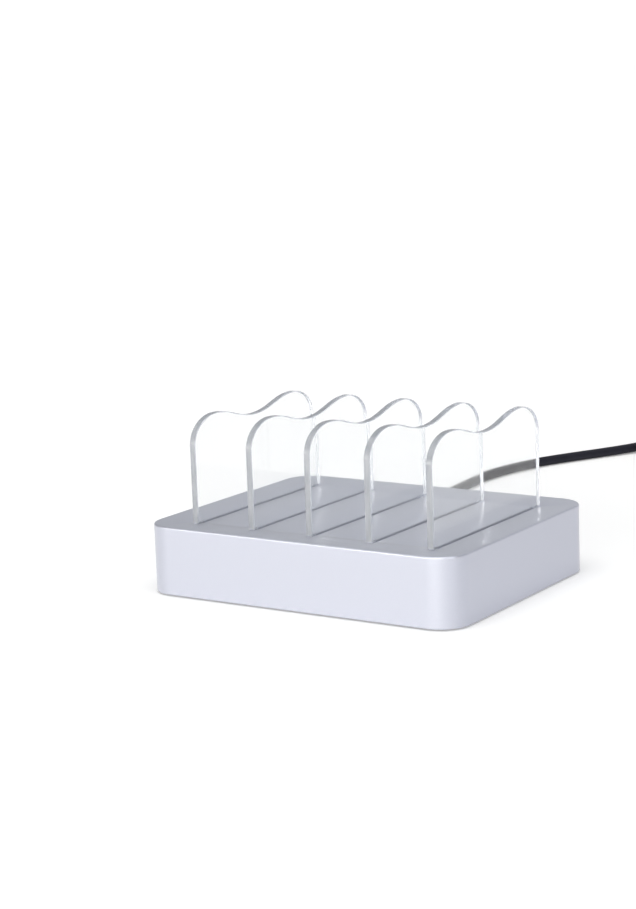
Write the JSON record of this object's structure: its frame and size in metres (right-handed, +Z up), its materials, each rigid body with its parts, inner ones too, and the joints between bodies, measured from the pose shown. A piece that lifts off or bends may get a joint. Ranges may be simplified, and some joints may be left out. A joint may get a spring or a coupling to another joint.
{
  "type": "desktop charging station",
  "caption": "Flat silver desktop charging base with clear wavy-topped dividers for phones and tablets, USB outlets and a switched mains inlet at the back, and a coiled mains lead.",
  "frame": {"origin": "on the floor under the middle of the base", "axes": "+Z up, +X along the base's long side to the right seen from the front, -Y out of the long front face, +Y out of the back with the outlets"},
  "size_m": [0.2056, 0.4359, 0.0798],
  "materials": {
    "silver_shell": "satin silver lacquer",
    "cover_plastic": "fine texture",
    "clear_acrylic": "polished clear",
    "foot_rubber": "matt",
    "plated_steel": "nickel plated",
    "contact_brass": "nickel-plated brass",
    "dark_plastic": "satin",
    "rocker_plastic": "semi-gloss",
    "lead_pvc": "matt PVC",
    "circuit_board": "solder mask",
    "ferrite": "sintered",
    "yellow_tape": "film tape",
    "copper_winding": "enamelled copper",
    "capacitor_sleeve": "shrink sleeve",
    "sink_aluminium": "extruded"
  },
  "bodies": {
    "base": {"upper_shell": "silver_shell", "bottom_cover": "cover_plastic", "rubber_foot_1": "foot_rubber", "rubber_foot_2": "foot_rubber", "rubber_foot_3": "foot_rubber", "rubber_foot_4": "foot_rubber", "cover_screw_1": "plated_steel", "cover_screw_2": "plated_steel", "cover_screw_3": "plated_steel", "cover_screw_4": "plated_steel", "usb_socket_shell_1": "plated_steel", "usb_socket_shell_2": "plated_steel", "usb_socket_shell_3": "plated_steel", "usb_socket_shell_4": "plated_steel", "usb_contact_block_1": "dark_plastic", "usb_contact_block_2": "dark_plastic", "usb_contact_block_3": "dark_plastic", "usb_contact_block_4": "dark_plastic", "inlet_housing": "dark_plastic", "inlet_pin_1": "contact_brass", "inlet_pin_2": "contact_brass", "switch_frame": "dark_plastic", "switch_wire_1": "lead_pvc", "switch_wire_2": "lead_pvc", "main_board": "circuit_board", "board_screw_1": "plated_steel", "board_screw_2": "plated_steel", "board_screw_3": "plated_steel", "board_screw_4": "plated_steel", "line_fuse": "dark_plastic", "line_filter_capacitor": "yellow_tape", "line_filter_choke": "copper_winding", "bridge_rectifier": "dark_plastic", "bulk_capacitor": "capacitor_sleeve", "primary_heat_sink": "sink_aluminium", "primary_transistor": "dark_plastic", "transformer_core": "ferrite", "transformer_winding": "yellow_tape", "output_heat_sink": "sink_aluminium", "output_rectifier": "dark_plastic", "output_capacitor_1": "capacitor_sleeve", "output_capacitor_2": "capacitor_sleeve", "output_capacitor_3": "capacitor_sleeve", "opto_coupler": "dark_plastic"},
    "divider_plate_1": {"divider_1": "clear_acrylic"},
    "divider_plate_2": {"divider_2": "clear_acrylic"},
    "divider_plate_3": {"divider_3": "clear_acrylic"},
    "divider_plate_4": {"divider_4": "clear_acrylic"},
    "divider_plate_5": {"divider_5": "clear_acrylic"},
    "rocker": {"switch_rocker": "rocker_plastic"},
    "mains_lead": {"lead_connector": "lead_pvc", "lead_cord": "lead_pvc", "lead_coil": "lead_pvc", "coil_tie": "foot_rubber", "plug_body": "lead_pvc", "plug_pin_1": "contact_brass", "plug_pin_2": "contact_brass"}
  },
  "joints": [
    {"name": "divider_1_lift", "type": "slide", "parent": "base", "child": "divider_plate_1", "axis": [0, 0, 1], "range_m": [0, 0.012]},
    {"name": "divider_2_lift", "type": "slide", "parent": "base", "child": "divider_plate_2", "axis": [0, 0, 1], "range_m": [0, 0.012]},
    {"name": "divider_3_lift", "type": "slide", "parent": "base", "child": "divider_plate_3", "axis": [0, 0, 1], "range_m": [0, 0.012]},
    {"name": "divider_4_lift", "type": "slide", "parent": "base", "child": "divider_plate_4", "axis": [0, 0, 1], "range_m": [0, 0.012]},
    {"name": "divider_5_lift", "type": "slide", "parent": "base", "child": "divider_plate_5", "axis": [0, 0, 1], "range_m": [0, 0.012]},
    {"name": "switch_rock", "type": "hinge", "parent": "base", "child": "rocker", "pos_m": [-0.021, 0.0601, 0.0161], "axis": [0, 0, 1], "range_deg": [0, 16]},
    {"name": "lead_unplug", "type": "slide", "parent": "base", "child": "mains_lead", "axis": [0, 1, 0], "range_m": [0, 0.02]}
  ]
}
